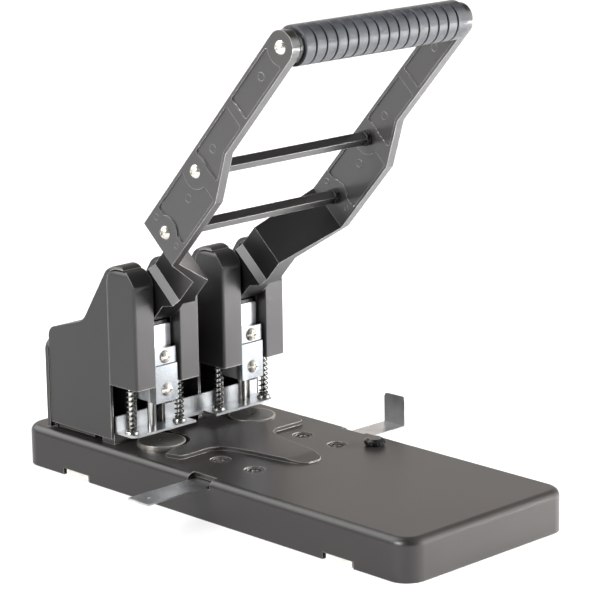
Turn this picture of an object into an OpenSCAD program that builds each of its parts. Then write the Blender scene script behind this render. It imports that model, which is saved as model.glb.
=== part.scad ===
// Heavy-duty two-hole lever punch: a long moulded base with two towers at its back.
// The mid-plane is X = 0, the row of punch pins is Y = 0 and the table is Z = 0.
// The user stands at the negative Y end, and the lever's grip hangs over the base.

/* [Base] */
// Width of the base
base_w = 142.5; // [136:0.5:160]
// Reach of the base in front of the pins
base_front = 257.3; // [230:1:290]
// Reach of the base behind the pins
base_rear = 95.2; // [88:0.2:120]
// Height of the base's deck
base_h = 27; // [26:0.5:32]
// Radius of the base's upright corners
base_r = 14; // [8:1:20]
// Radius of the base's top edge
base_edge = 5; // [2:0.5:6]
// Thickness of the base's side walls
base_wall = 2.6; // [2:0.1:3.2]
// Thickness of the base's deck
deck_t = 3; // [2.6:0.1:3.4]
// Thickness of the steel bottom plate
bottom_t = 1.4; // [1:0.1:2]
// Drop of the deck's raised paper rest below the cutting discs
rest_drop = 0.2; // [0.1:0.1:1]
// Length of one rubber foot
foot_l = 22; // [14:1:24]
// Thickness of a rubber foot
foot_h = 4.1; // [3:0.1:5]

/* [Punches] */
// Distance between the two punched holes
hole_pitch = 80; // [78:0.5:82]
// Diameter of a punch pin
pin_d = 6; // [5:0.1:6.4]
// Bore up the middle of a punch pin
pin_bore = 4.2; // [3:0.1:4.6]
// Way that a punch pin travels
stroke = 5.2; // [4:0.1:5.3]
// Diameter of a cutting disc
disc_d = 31.5; // [26:0.5:34]
// Thickness of a cutting disc
disc_t = 5.6; // [4.5:0.1:5.8]
// Distance of a cutting disc's middle in front of the pins
disc_fore = 8.7; // [7:0.1:9]
// Thickness of the stripper plate
plate_t = 1.5; // [1.2:0.1:2]
// Height of the paper throat over the cutting discs
throat_h = 5; // [4.6:0.1:6]

/* [Towers] */
// Distance between the middles of the two towers
tower_pitch = 75.6; // [74:0.2:78]
// Width of one tower
tower_w = 54.6; // [52:0.2:56]
// Width of the slot in a tower
slot_w = 21.6; // [21:0.1:23]
// Height of the towers
tower_h = 147; // [146:0.5:156]
// Thickness of the housing's walls
shell_t = 2.2; // [1.6:0.1:2.4]
// Reach of the front covers before the pins
cheek_fore = 15.1; // [14.6:0.1:17]
// Height of the front covers' lower ends
cheek_z = 68; // [60:0.5:70]
// Reach of the low rear box behind the pins
box_y = 72; // [70:0.5:76]
// Thickness of the frame plates
frame_t = 2.5; // [2:0.1:2.8]

/* [Lever] */
// Lean of the raised lever from upright
lever_lean = 42.2; // [40:0.2:45]
// Swing of the lever from raised to pressed
lever_travel = 48; // [44:0.5:48]
// Height of the lever's pivot
pivot_z = 127; // [126:0.2:128]
// Diameter of the pivot shafts
shaft_d = 8; // [6:0.2:9]
// Base radius of the cam that presses a punch
cam_r = 19; // [18.5:0.1:20]
// Distance from the pivot to the grip
lever_l = 244.8; // [220:0.2:270]
// Distance between the outer faces of the two arms
arm_span = 152.8; // [150:0.2:156]
// Thickness of an arm
arm_t = 6.2; // [5:0.1:7]
// Width of an arm below its upper kink
arm_w = 33.9; // [31:0.1:34]
// Width of an arm at the grip
arm_tip_w = 20.4; // [18:0.2:22]
// Diameter of the grip sleeve
grip_d = 24.4; // [22:0.2:28]
// Diameter of the rod inside the grip
rod_d = 10; // [8:0.5:12]
// Width of the two square tie bars
tie_w = 6.2; // [5.6:0.1:7]

/* [Springs] */
// Outer diameter of a return spring
spring_d = 6.6; // [6.2:0.1:7.4]
// Wire of a return spring
spring_wire = 0.95; // [0.8:0.05:1.1]
// Diameter of a guide post
post_d = 3.4; // [3:0.1:3.6]
// Distance from a tower's middle to a guide post
post_out = 20.4; // [20:0.1:20.8]

/* [Paper guide] */
// Width of the guide bar
bar_w = 18.4; // [14:0.2:19]
// Thickness of the guide bar
bar_t = 1.2; // [1:0.1:1.4]
// Length of the guide bar
bar_l = 226.4; // [200:1:250]
// Height of the guide bar's upturned tab
tab_h = 19.8; // [12:0.2:26]
// Distance of the guide bar in front of the pins
bar_fore = 78.3; // [77:0.1:80]
// Diameter of the lock knob
knob_d = 14; // [11:0.5:15]

/* [Hidden] */
$fn = 64;
cut = 1;
fit_gap = 0.05;
seam = 0.3;
half_w = base_w / 2;

// Levels over the table
deck_under = base_h - deck_t;
disc_lift = 0.1;
disc_z = deck_under + disc_lift;
disc_top = disc_z + disc_t;
plate_z = disc_top + throat_h;
plate_top = plate_z + plate_t;
pin_clear = 0.1;
pin_z = disc_top + stroke + pin_clear;

// Lever and cam
pin_x = hole_pitch / 2;
tower_x = tower_pitch / 2;
cam_rise = stroke / (lever_travel * PI / 180);
cam_gap = 0.1;
cam_step = lever_travel / 16;
pivot_y = cam_rise;
pad_top = pivot_z - cam_r - cam_gap;
pad_t = 2.4;
holder_top = pad_top - pad_t;
hub_w = 19.6;
neck_w = 13.6;
hub_r = 11;
hub_end = 23.2;
hub_slope = 4.9;
neck_in = 45.5;
neck_out = 47.5;
arm_rise_in = 72;
arm_rise_out = 72.5;
kink_low = 132.8;
kink_high = 162.2;
arm_back = 3.6;
arm_face = arm_span / 2;
arm_inner = arm_face - arm_t;
neck_front = arm_w - arm_back;
cam_nose = 15;
tie_high_u = 133.5;
tie_high_w = 6.1;
tie_low_u = 83.2;
tie_low_w = 12.8;
grip_w = arm_tip_w / 2 - arm_back;
screw_d = 4;
tie_reach = 12;
arm_screw_d = 8.6;
arm_screw_h = 2.6;
panel_d = 0.9;
panel_rim = 2;
panel_ring = 10.9;
panel_corner = 1.5;
collar_d = 10;
collar_t = 4;
grip_collar_l = 3.4;
grip_collar_d = 21;
rib_count = 16;
groove_w = 0.9;
groove_d = 1;
groove_edge = 0.35;
panels = [[191.2, lever_l], [143.5, 184.4], [90.5, kink_low]];

// Base
slot_gap = 1;
slot_in = 6.5;
deck_screw_x = 36.4;
deck_screw_rear = 17.3;
deck_screw_front = 14;
deck_screw_d = 9;
deck_screw_h = 1.7;
ring_d = 13.5;
ring_h = 0.7;
head_gap = 0.3;
head_sink = 2.1;
foot_w = 12.4;
foot_in = 0.85;
foot_grip = 3;
foot_rear_y = 40.7;
foot_front_y = 200;
notch_gap = 1.9;
notch_top = 0.4;
boss_d = 8;
boss_bore = 2.6;
boss_in = 13;
boss_end = 17;
boss_ys = [base_rear - boss_end, -base_front / 2, boss_end - base_front];
seat_block_d = 38;
stud_d = 5;
stud_h = 4.2;
disc_eye = 2.6;
disc_gap = 0.4;
rest_top = disc_top - rest_drop;
rest_w = 114;
rest_l = 116.6;
rest_back = 8;
rest_toe = 0.8;
rest_slope = 14;
rest_ring = 3;
rest_shares = [[0.39, 0], [0.42, 0.24], [0.79, 0.3], [1, 0.345], [0.95, 0.43], [0.9, 0.445],
    [0.51, 0.44], [0.4, 0.475], [0.335, 0.54], [0.29, 0.645], [0.243, 0.79], [0.205, 0.91],
    [0.16, 0.97], [0.08, 1]];

// Paper guide
bar_gap = 0.3;
bar_z = deck_under - bar_t - 2 * bar_gap;
channel_x = 44;
channel_t = 3;
channel_rear = 12.5;
channel_front = 9.5;
knob_x = 52.2;
knob_y = -110.8;
knob_h = 4.6;
knob_lift = 0.3;
knob_shaft_d = 5;
knob_waist = 0.84;
knob_crown = 0.7;
knob_flutes = 8;
flute_d = 2.4;
cam_arm_w = 6;
cam_arm_t = 3;
tab_r = 3;
tab_out = 33.05;
tab_x = half_w + tab_out;
bar_left = tab_x + bar_t - bar_l;

// Towers
plate_half = 62;
plate_fore = 8;
plate_back = 24;
plate_r = 5;
plate_notch = 9;
plate_notch_back = 4;
support_y = 12;
lip_t = 1.5;
lip_h = 10;
seam_y = 10.8;
slot_half = slot_w / 2;
wing_fore = 5;
wing_back = 3.2;
frame_back = 4.6;
frame_fore = 5.7;
ear_z = 104;
ear_t = 4;
ear_half = post_out + 4.4;
frame_low = 98;
frame_top = tower_h - 4.9;
frame_rear = 24;
frame_fall = 28;
frame_shoulder = tower_h - frame_fall;
frame_top_share = 0.4;
window_z = [60, 90];
window_w = 12;
flange_t = 2.5;
stop_d = 3.6;
stop_u = 14;
stop_w = -2.1;
clip_d = 12;
clip_t = 0.8;
cheek_top = tower_h - 2.2;
cheek_r = 13;
cheek_rear_r = 9;
cheek_side_r = 4;
cheek_edge_r = 2;
cheek_slot_r = 0.8;
return_back = 6;
hump_y = 2.5;
hump_r = 12.5;
slope_turn = 33.3;
slope_n = [cos(slope_turn), sin(slope_turn)];
slope_s = slope_n * [hump_y, tower_h - hump_r] + hump_r;
box_n = [0.28, 0.96];
box_fall = 41.1;
box_s = box_n * [box_y / 2, tower_h - box_fall];
rear_r = 8;
knee_r = 14;
foot_gap = 4.4;
panel_proud = 0.6;
casing_side_r = 5;
mid_y = 30;
gap_half = tower_x - tower_w / 2;
drawer_x = 61;
drawer_top = 52;
drawer_y = 33;
drawer_t = 1.6;
drawer_lift = 0.8;
drawer_gap = 0.6;
panel_x = tower_x + tower_w / 2 + panel_proud;
panel_t = 3;
panel_top = 88;
pull_x = 22;
pull_z = 66;
pull_out = 5;
pull_t = 3;
drawer_screw_x = 46;
drawer_screw_z = 42;
drawer_screw_d = 6;
small_head_h = 1.6;

// Punch holders
holder_w = 18.6;
holder_fore = 7;
holder_back = 12;
holder_z = 55.7;
holder_r = 1.2;
wing_z = 74;
wing_t = 5.5;
wing_half = post_out + 4.2;
pin_seat = 72;
chip_d = 5;
chip_top = 82;
clamp_fore = 13;
clamp_top = 80.2;
strap_fore = 12;
strap_z = 80.6;
strap_top = 91;
holder_screw_z = [64, 85.6];
holder_screw_d = 9;
holder_screw_h = 3;
holder_screw_in = 3.5;
pad_fore = 6;
pad_w = 16;
seat_h = 2.2;
seat_d = 9.6;
seat_top_d = 8;
spring_y = -1.1;
post_top = ear_z + ear_t;
spring_z = plate_top + seat_h;
spring_h = wing_z - spring_z;
curls = 12;
curl_rings = 8;
wire_sides = 6;

black = [0.16, 0.155, 0.15];
dark = [0.09, 0.09, 0.09];
steel = [0.72, 0.73, 0.74];
silver = [0.85, 0.85, 0.84];
rubber = [0.05, 0.05, 0.055];
pale_rubber = [0.6, 0.6, 0.58];

// Carries an outline drawn in Y and Z along X
module along_x(l) {
    translate([-l / 2, 0, 0])
        rotate([90, 0, 90])
            linear_extrude(l)
                children();
}

// Carries an outline drawn in X and Z along Y
module along_y(l) {
    rotate([90, 0, 0])
        linear_extrude(l, center = true)
            children();
}

module mirrored() {
    children();
    mirror([1, 0, 0])
        children();
}

module block(low, high) {
    translate(low)
        cube(high - low);
}

// Flat outline with its four corners rounded
module round_rect(low, high, r) {
    for (x = [low[0] + r, high[0] - r], y = [low[1] + r, high[1] - r])
        translate([x, y])
            circle(r);
    translate([low[0] + r, low[1]])
        square([high[0] - low[0] - 2 * r, high[1] - low[1]]);
    translate([low[0], low[1] + r])
        square([high[0] - low[0], high[1] - low[1] - 2 * r]);
}

// Flat outline on a straight foot with its two top corners rounded
module arched(low, high, r_low, r_high) {
    r_max = max(r_low, r_high);
    translate(low)
        square([high[0] - low[0], high[1] - low[1] - r_max]);
    translate([low[0], low[1]])
        square([(high[0] - low[0]) / 2, high[1] - low[1] - r_low]);
    translate([(low[0] + high[0]) / 2, low[1]])
        square([(high[0] - low[0]) / 2, high[1] - low[1] - r_high]);
    translate([low[0] + r_low, low[1]])
        square([high[0] - low[0] - r_low - r_high, high[1] - low[1]]);
    translate([low[0] + r_low, high[1] - r_low])
        circle(r_low);
    translate([high[0] - r_high, high[1] - r_high])
        circle(r_high);
}

// Crossing point of two lines, each given by its normal and its distance from the origin
function meet(n1, s1, n2, s2) =
    let (d = n1[0] * n2[1] - n1[1] * n2[0])
    [(s1 * n2[1] - s2 * n1[1]) / d, (n1[0] * s2 - n2[0] * s1) / d];

// Domed screw head with a cross recess, standing on z = 0
module pan_head(d, h) {
    ball_r = (d * d / 4 + h * h) / (2 * h);
    difference() {
        intersection() {
            translate([0, 0, h - ball_r])
                sphere(ball_r);
            cylinder(h = h, d = d);
        }
        for (a = [0, 90])
            rotate([0, 0, a])
                translate([-d / 4, -d / 16, h * 0.45])
                    cube([d / 2, d / 8, h]);
    }
}

// Base

module base_corner() {
    rotate_extrude() {
        square([base_r - base_edge, base_h]);
        square([base_r, base_h - base_edge]);
        translate([base_r - base_edge, base_h - base_edge])
            circle(base_edge);
    }
}

module base_body() {
    length = base_front + base_rear;
    middle = (base_rear - base_front) / 2;
    for (x = [base_r - half_w, half_w - base_r], y = [base_r - base_front, base_rear - base_r])
        translate([x, y, 0])
            base_corner();
    along_x(base_w - 2 * base_r)
        arched([-base_front, 0], [base_rear, base_h], base_edge, base_edge);
    translate([0, middle, 0])
        along_y(length - 2 * base_r)
            arched([-half_w, 0], [half_w, base_h], base_edge, base_edge);
}

// Raised rest that holds the paper level with the cutting discs: two lobes and a long tongue
module paper_rest() {
    front = rest_back - rest_l;
    half = [for (p = rest_shares) [p[0] * rest_w / 2, rest_back - p[1] * rest_l]];
    last = len(half) - 1;
    difference() {
        translate([0, 0, deck_under + deck_t / 2])
            linear_extrude(rest_top - deck_under - deck_t / 2)
                polygon(concat(half, [for (i = [0 : last]) [-half[last - i][0], half[last - i][1]]]));
        along_x(rest_w)
            polygon([[front - cut, base_h + rest_toe], [front, base_h + rest_toe],
                [front + rest_slope, rest_top], [front + rest_slope, rest_top + cut],
                [front - cut, rest_top + cut]]);
        for (x = [-pin_x, pin_x])
            translate([x, -disc_fore, base_h])
                cylinder(h = rest_top, d = disc_d + 2 * rest_ring);
    }
}

module base_cover() {
    slot_y = bar_w / 2 + slot_gap;
    color(black)
    difference() {
        union() {
            difference() {
                base_body();
                translate([0, 0, -cut])
                    linear_extrude(deck_under + cut)
                        round_rect([base_wall - half_w, base_wall - base_front],
                            [half_w - base_wall, base_rear - base_wall], base_r - base_wall);
            }
            for (x = [-1, 1], y = boss_ys)
                translate([x * (half_w - boss_in), y, bottom_t])
                    cylinder(h = deck_under - bottom_t + deck_t / 2, d = boss_d);
            paper_rest();
        }
        for (x = [-1, 1], y = boss_ys)
            translate([x * (half_w - boss_in), y, 0])
                cylinder(h = deck_under, d = boss_bore);
        for (x = [-1, 1], y = [foot_rear_y, -foot_front_y])
            block([x * half_w - 2 * base_wall, y - foot_l / 2 - notch_gap, -cut],
                [x * half_w + 2 * base_wall, y + foot_l / 2 + notch_gap, foot_h + notch_top]);
        for (x = [-1, 1])
            block([x * half_w - slot_in, -bar_fore - slot_y, bar_z - slot_gap],
                [x * half_w + slot_in, -bar_fore + slot_y, base_h + cut]);
        for (x = [-pin_x, pin_x])
            translate([x, -disc_fore, deck_under - cut])
                cylinder(h = deck_t + 2 * cut, d = disc_d + 2 * disc_gap);
        deck_screw_places() {
            translate([0, 0, base_h - ring_h])
                cylinder(h = ring_h + cut, d = ring_d);
            translate([0, 0, base_h - head_sink])
                cylinder(h = head_sink + cut, d = deck_screw_d + 2 * head_gap);
            translate([0, 0, deck_under - cut])
                cylinder(h = deck_t, d = screw_d);
        }
        translate([knob_x, knob_y, deck_under - cut])
            cylinder(h = deck_t + 2 * cut, d = knob_shaft_d + 2 * fit_gap);
        for (x = [-tower_x, tower_x])
            translate([x, frame_screw_y(), deck_under - cut])
                cylinder(h = deck_t + 2 * cut, d = screw_d);
    }
}

function frame_screw_y() = (support_y + frame_rear - frame_t) / 2;

module deck_screw_places() {
    for (x = [-deck_screw_x, deck_screw_x], y = [deck_screw_rear, -deck_screw_front])
        translate([x, y - bar_fore, 0])
            children();
}

module bottom_plate() {
    inset = base_wall + seam;
    color(steel)
    difference() {
        linear_extrude(bottom_t)
            round_rect([inset - half_w, inset - base_front], [half_w - inset, base_rear - inset],
                base_r - inset);
        for (x = [-1, 1], y = [foot_rear_y, -foot_front_y])
            translate([x * half_w, y, bottom_t / 2])
                cube([2 * (foot_in + foot_w), foot_l, bottom_t + cut], center = true);
        for (x = [-1, 1], y = boss_ys)
            translate([x * (half_w - boss_in), y, 0])
                cylinder(h = 3 * bottom_t, d1 = boss_d - bottom_t, d2 = boss_bore, center = true);
    }
}

module rubber_feet() {
    color(pale_rubber)
    for (x = [-1, 1], y = [foot_rear_y, -foot_front_y])
        translate([x * (half_w - foot_in - foot_w / 2), y, 0]) {
            translate([0, 0, bottom_t / 2])
                cube([foot_w, foot_l, bottom_t], center = true);
            translate([-x * foot_grip / 2, 0, (foot_h + bottom_t) / 2])
                cube([foot_w + foot_grip, foot_l, foot_h - bottom_t], center = true);
        }
}

module bottom_screws() {
    color(steel)
    for (x = [-1, 1], y = boss_ys)
        translate([x * (half_w - boss_in), y, 0]) {
            intersection() {
                cylinder(h = 3 * bottom_t, d1 = boss_d - bottom_t, d2 = boss_bore, center = true);
                cylinder(h = bottom_t, d = boss_d);
            }
            cylinder(h = deck_under / 2, d = boss_bore);
        }
}

module deck_screws() {
    color(dark)
    deck_screw_places() {
        translate([0, 0, base_h - head_sink])
            pan_head(deck_screw_d, deck_screw_h);
        translate([0, 0, bar_z - bar_gap - channel_t])
            cylinder(h = base_h - head_sink - bar_z + bar_gap + channel_t, d = screw_d);
    }
}

module anvil_blocks() {
    color(steel)
    for (x = [-pin_x, pin_x])
        translate([x, -disc_fore, 0]) {
            translate([0, 0, bottom_t])
                cylinder(h = deck_under - bottom_t, d = seat_block_d);
            translate([0, 0, bottom_t])
                cylinder(h = deck_under + stud_h - bottom_t, d = stud_d);
        }
}

module cutting_disc(x) {
    color(dark)
    translate([x, -disc_fore, disc_z])
    difference() {
        cylinder(h = disc_t, d = disc_d);
        translate([0, 0, -cut])
            cylinder(h = stud_h + cut, d = stud_d + 2 * fit_gap);
        cylinder(h = disc_t + cut, d = disc_eye);
    }
}

// Paper guide

module bar_channel() {
    color(steel)
    difference() {
        translate([0, -bar_fore, 0])
            along_x(2 * channel_x)
                difference() {
                    translate([-bar_w / 2 - bar_gap - channel_front, bar_z - bar_gap - channel_t])
                        square([bar_w + 2 * bar_gap + channel_front + channel_rear,
                            deck_under - bar_z + bar_gap + channel_t]);
                    translate([-bar_w / 2 - bar_gap, bar_z - bar_gap])
                        square([bar_w + 2 * bar_gap, deck_under]);
                }
        deck_screw_places()
            cylinder(h = base_h, d = screw_d);
    }
}

module guide_bar() {
    color(silver)
    translate([0, -bar_fore, 0])
    difference() {
        union() {
            translate([0, 0, bar_z])
                linear_extrude(bar_t)
                    round_rect([bar_left, -bar_w / 2], [tab_x + bar_t, bar_w / 2], bar_t / 2);
            translate([tab_x + bar_t / 2, 0, 0])
                rotate([90, 0, 90])
                    linear_extrude(bar_t, center = true)
                        arched([-bar_w / 2, bar_z], [bar_w / 2, bar_z + bar_t + tab_h], tab_r, tab_r);
        }
        translate([bar_left + bar_w / 2, 0, bar_z - cut])
            cylinder(h = bar_t + 2 * cut, d = 2 * bar_t);
    }
}

module guide_knob() {
    r = knob_d / 2;
    low = base_h + knob_lift;
    color(dark)
    translate([knob_x, knob_y, 0])
    difference() {
        rotate_extrude()
            polygon([[0, bar_z], [knob_shaft_d / 2, bar_z], [knob_shaft_d / 2, low], [r * knob_waist, low],
                [r, low + knob_h / 3], [r, low + knob_h * 2 / 3], [r * knob_crown, low + knob_h],
                [0, low + knob_h]]);
        for (i = [0 : knob_flutes - 1])
            rotate([0, 0, 360 * (i + 0.5) / knob_flutes])
                translate([r + flute_d / 4, 0, base_h])
                    cylinder(h = 2 * knob_h, d = flute_d);
    }
}

module knob_cam() {
    reach = -bar_fore - bar_w / 2 - bar_gap - knob_y;
    color(steel)
    translate([knob_x, knob_y, bar_z + bar_t - cam_arm_t])
    difference() {
        union() {
            cylinder(h = cam_arm_t, d = knob_shaft_d + cam_arm_w / 2);
            translate([-cam_arm_w / 2, 0, 0])
                cube([cam_arm_w, reach, cam_arm_t]);
        }
        translate([0, 0, -cut])
            cylinder(h = cam_arm_t + 2 * cut, d = knob_shaft_d);
    }
}

// Stripper plate and what it carries

module stripper_plate() {
    color(silver)
    difference() {
        union() {
            translate([0, 0, plate_z])
                linear_extrude(plate_t)
                    difference() {
                        round_rect([-plate_half, -plate_fore], [plate_half, plate_back], plate_r);
                        translate([-plate_notch, -plate_fore - cut])
                            square([2 * plate_notch, plate_fore + plate_notch_back + cut]);
                        translate([-gap_half - shell_t - seam, seam_y - seam])
                            square([2 * (gap_half + shell_t + seam), plate_back]);
                    }
            block([-plate_half, seam_y - lip_t, plate_z], [plate_half, seam_y, plate_top + lip_h]);
        }
        for (x = [-tower_x, tower_x], side = [-1, 1])
            translate([x + side * (slot_half + frame_t / 2), seam_y - lip_t / 2, plate_top + lip_h])
                cube([frame_t + 2 * seam, lip_t + cut, 2 * lip_h], center = true);
        for (x = [-pin_x, pin_x])
            translate([x, 0, plate_z - cut])
                cylinder(h = plate_t + 2 * cut, d = pin_d + 2 * fit_gap);
        post_places()
            translate([0, 0, plate_z - cut])
                cylinder(h = plate_t + 2 * cut, d = post_d);
        for (x = [-tower_x, tower_x])
            translate([x, frame_screw_y(), plate_z - cut])
                cylinder(h = plate_t + 2 * cut, d = screw_d);
    }
}

module post_places() {
    for (x = [-tower_x, tower_x], side = [-post_out, post_out])
        translate([x + side, spring_y, 0])
            children();
}

module plate_supports() {
    color(dark)
    mirrored()
        difference() {
            block([gap_half + shell_t + seam, support_y, base_h], [plate_half, plate_back, plate_z]);
            translate([tower_x, frame_screw_y(), base_h - cut])
                cylinder(h = plate_z, d = screw_d);
        }
}

module spring_seats() {
    color(silver)
    post_places()
        difference() {
            translate([0, 0, plate_top])
                cylinder(h = seat_h, d1 = seat_d, d2 = seat_top_d);
            translate([0, 0, plate_top - cut])
                cylinder(h = seat_h + 2 * cut, d = post_d);
        }
}

module guide_posts() {
    color(silver)
    post_places()
        translate([0, 0, plate_z])
            cylinder(h = post_top - plate_z, d = post_d);
}

// Helical wire: each entry is the angle round the axis, the height and the climb of the wire
function wire_ring(turn, z, climb, r) =
    [for (i = [0 : wire_sides - 1])
        let (a = 360 * i / wire_sides,
            out = r + cos(a) * spring_wire / 2,
            side = -sin(climb) * sin(a) * spring_wire / 2,
            up = cos(climb) * sin(a) * spring_wire / 2)
        [out * cos(turn) - side * sin(turn), out * sin(turn) + side * cos(turn), z + up]];

function spring_route() =
    let (bend = 12,
        lead = spring_wire,
        low = 1.5 * lead,
        rise = spring_h - 2 * low,
        count = curls * curl_rings,
        slope = atan2(rise, curls * PI * (spring_d - spring_wire)))
    concat([[0, 0, 90], [0, lead, 90]],
        [for (i = [0 : count])
            [bend + 360 * i / curl_rings, low + rise * i / count,
                i == 0 || i == count ? 45 + slope / 2 : slope]],
        [[2 * bend + 360 * curls, spring_h - lead, 90], [2 * bend + 360 * curls, spring_h, 90]]);

module coil_spring(x) {
    r = (spring_d - spring_wire) / 2;
    route = spring_route();
    points = [for (p = route) each wire_ring(p[0], p[1], p[2], r)];
    last = len(route) - 1;
    sides = [for (k = [0 : last - 1], i = [0 : wire_sides - 1])
        let (j = (i + 1) % wire_sides,
            a = k * wire_sides)
        [a + i, a + j, a + wire_sides + j, a + wire_sides + i]];
    low_cap = [[for (i = [0 : wire_sides - 1]) wire_sides - 1 - i]];
    top_cap = [[for (i = [0 : wire_sides - 1]) last * wire_sides + i]];
    color(silver)
    translate([x, spring_y, spring_z])
        polyhedron(points, concat(low_cap, sides, top_cap));
}

// Tower frames

module frame_side() {
    polygon([[frame_back, plate_top], [frame_rear, plate_top], [frame_rear, frame_shoulder],
        [hump_y + hump_r * frame_top_share, frame_top], [-frame_fore + shell_t, frame_top],
        [-frame_fore, frame_top - shell_t], [-frame_fore, frame_low], [frame_back, frame_low]]);
}

module lever_frame() {
    translate([0, pivot_y, pivot_z])
        rotate([lever_lean, 0, 0])
            children();
}

// Cylinder along X, placed in the raised lever's own frame
module lever_rod(u, w, d, l) {
    lever_frame()
        translate([0, -w, u])
            rotate([0, 90, 0])
                cylinder(h = l, d = d, center = true);
}

module tower_frame(x) {
    color(dark)
    translate([x, 0, 0])
    difference() {
        union() {
            for (side = [-1, 1]) {
                translate([side * (slot_half + frame_t / 2), 0, 0])
                    along_x(frame_t)
                        frame_side();
                translate([side * (slot_half + ear_half) / 2, 0, 0])
                    along_x(ear_half - slot_half)
                        translate([-frame_fore, ear_z])
                            square([frame_fore + wing_back, ear_t]);
            }
            block([-slot_half - frame_t, frame_rear - frame_t, plate_top],
                [slot_half + frame_t, frame_rear, frame_shoulder]);
            block([-slot_half - frame_t, support_y, plate_top],
                [slot_half + frame_t, frame_rear, plate_top + flange_t]);
        }
        block([-window_w / 2, frame_rear - 2 * frame_t, window_z[0]],
            [window_w / 2, frame_rear + cut, window_z[1]]);
        translate([0, pivot_y, pivot_z])
            rotate([0, 90, 0])
                cylinder(h = slot_w + 4 * frame_t, d = shaft_d, center = true);
        lever_rod(stop_u, stop_w, stop_d, slot_w + 4 * frame_t);
        for (side = [-post_out, post_out])
            translate([side, spring_y, ear_z - cut])
                cylinder(h = ear_t + 2 * cut, d = post_d);
        translate([0, frame_screw_y(), plate_top - cut])
            cylinder(h = flange_t + 2 * cut, d = screw_d);
    }
}

module frame_screws() {
    color(steel)
    for (x = [-tower_x, tower_x])
        translate([x, frame_screw_y(), 0]) {
            translate([0, 0, deck_under])
                cylinder(h = plate_top + flange_t - deck_under, d = screw_d);
            translate([0, 0, plate_top + flange_t])
                pan_head(2 * screw_d, small_head_h);
        }
}

module pivot_shafts() {
    color(steel)
    for (x = [-tower_x, tower_x])
        translate([x, pivot_y, pivot_z])
            rotate([0, 90, 0])
                cylinder(h = slot_w + 2 * frame_t + 4 * clip_t, d = shaft_d, center = true);
}

module shaft_clips() {
    color(steel)
    for (x = [-tower_x, tower_x], side = [-1, 1])
        translate([x + side * (slot_half + frame_t + clip_t / 2), pivot_y, pivot_z])
            rotate([0, 90, 0])
                difference() {
                    cylinder(h = clip_t, d = clip_d, center = true);
                    cylinder(h = clip_t + cut, d = shaft_d, center = true);
                    translate([0, clip_d / 2, 0])
                        cube([shaft_d / 2, clip_d, clip_t + cut], center = true);
                }
}

module stop_pins() {
    color(silver)
    for (x = [-tower_x, tower_x])
        translate([x, 0, 0])
            lever_rod(stop_u, stop_w, stop_d, slot_w + 2 * frame_t);
}

// Housing and front covers

module cheek_side(grow) {
    arched([-cheek_fore - grow, cheek_z], [seam_y + grow, cheek_top + grow], cheek_r + grow,
        cheek_rear_r + grow);
}

module front_cover(side) {
    width = (tower_w - slot_w) / 2;
    inside_r = cheek_r - shell_t;
    rear_in = cheek_rear_r - shell_t;
    color(black)
    scale([side, 1, 1])
    translate([slot_half, 0, 0])
    difference() {
        intersection() {
            translate([width / 2, 0, 0])
                along_x(width)
                    cheek_side(0);
            translate([0, 0, cheek_z - cut])
                linear_extrude(tower_h)
                    mirror([0, 1])
                        arched([0, -tower_h], [width, cheek_fore], cheek_slot_r, cheek_edge_r);
            along_y(8 * cheek_fore)
                arched([0, cheek_z - cut], [width, cheek_top], cheek_slot_r, cheek_side_r);
        }
        translate([width / 2, 0, 0])
            along_x(width - 2 * shell_t)
                arched([shell_t - cheek_fore, cheek_z - cut], [seam_y, cheek_top - shell_t], inside_r,
                    rear_in);
        block([-cut, -return_back, cheek_z - cut], [width / 2, seam_y + cut, frame_top + seam]);
        block([shell_t, 0, cheek_z - cut], [width - shell_t, seam_y + cut, cheek_top - cheek_rear_r]);
    }
}

// Side view of the housing: rounded hump, steep back, low rear box
module casing_outline(inset) {
    corner = meet([1, 0], box_y - rear_r, box_n, box_s - rear_r);
    bend = meet(box_n, box_s + knee_r, slope_n, slope_s + knee_r);
    hump = [hump_y, tower_h - hump_r];
    difference() {
        polygon([[hump_y, cheek_z], [seam_y, base_h - inset], [box_y - inset, base_h - inset],
            [box_y - inset, corner[1]], corner + (rear_r - inset) * box_n,
            bend - (knee_r + inset) * box_n, bend - (knee_r + inset) * slope_n,
            hump + (hump_r - inset) * slope_n, [hump_y, tower_h - inset]]);
        translate(bend)
            circle(knee_r + inset);
    }
    translate(corner)
        circle(rear_r - inset);
    translate(hump)
        circle(hump_r - inset);
}

module tower_shell(x) {
    translate([x, 0, 0])
    difference() {
        intersection() {
            along_x(tower_w)
                difference() {
                    casing_outline(0);
                    translate([-tower_h, 0])
                        square([tower_h + seam_y + seam, cheek_top - cheek_rear_r]);
                    cheek_side(seam);
                }
            along_y(8 * box_y)
                arched([-tower_w / 2, 0], [tower_w / 2, tower_h], casing_side_r, casing_side_r);
        }
        along_x(tower_w - 2 * shell_t)
            intersection() {
                casing_outline(shell_t);
                translate([seam_y, 0])
                    square([box_y, 2 * tower_h]);
            }
        block([-slot_half, -cheek_fore, frame_low], [slot_half, pivot_y + hub_r + cut, tower_h + cut]);
    }
}

// Low box that joins the two towers at the back
module low_box(inset) {
    corner = meet([1, 0], box_y - rear_r, box_n, box_s - rear_r);
    front = meet([1, 0], mid_y + inset, box_n, box_s - inset);
    polygon([[mid_y + inset, base_h - inset], [box_y - inset, base_h - inset], [box_y - inset, corner[1]],
        corner + (rear_r - inset) * box_n, front]);
    translate(corner)
        circle(rear_r - inset);
}

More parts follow.
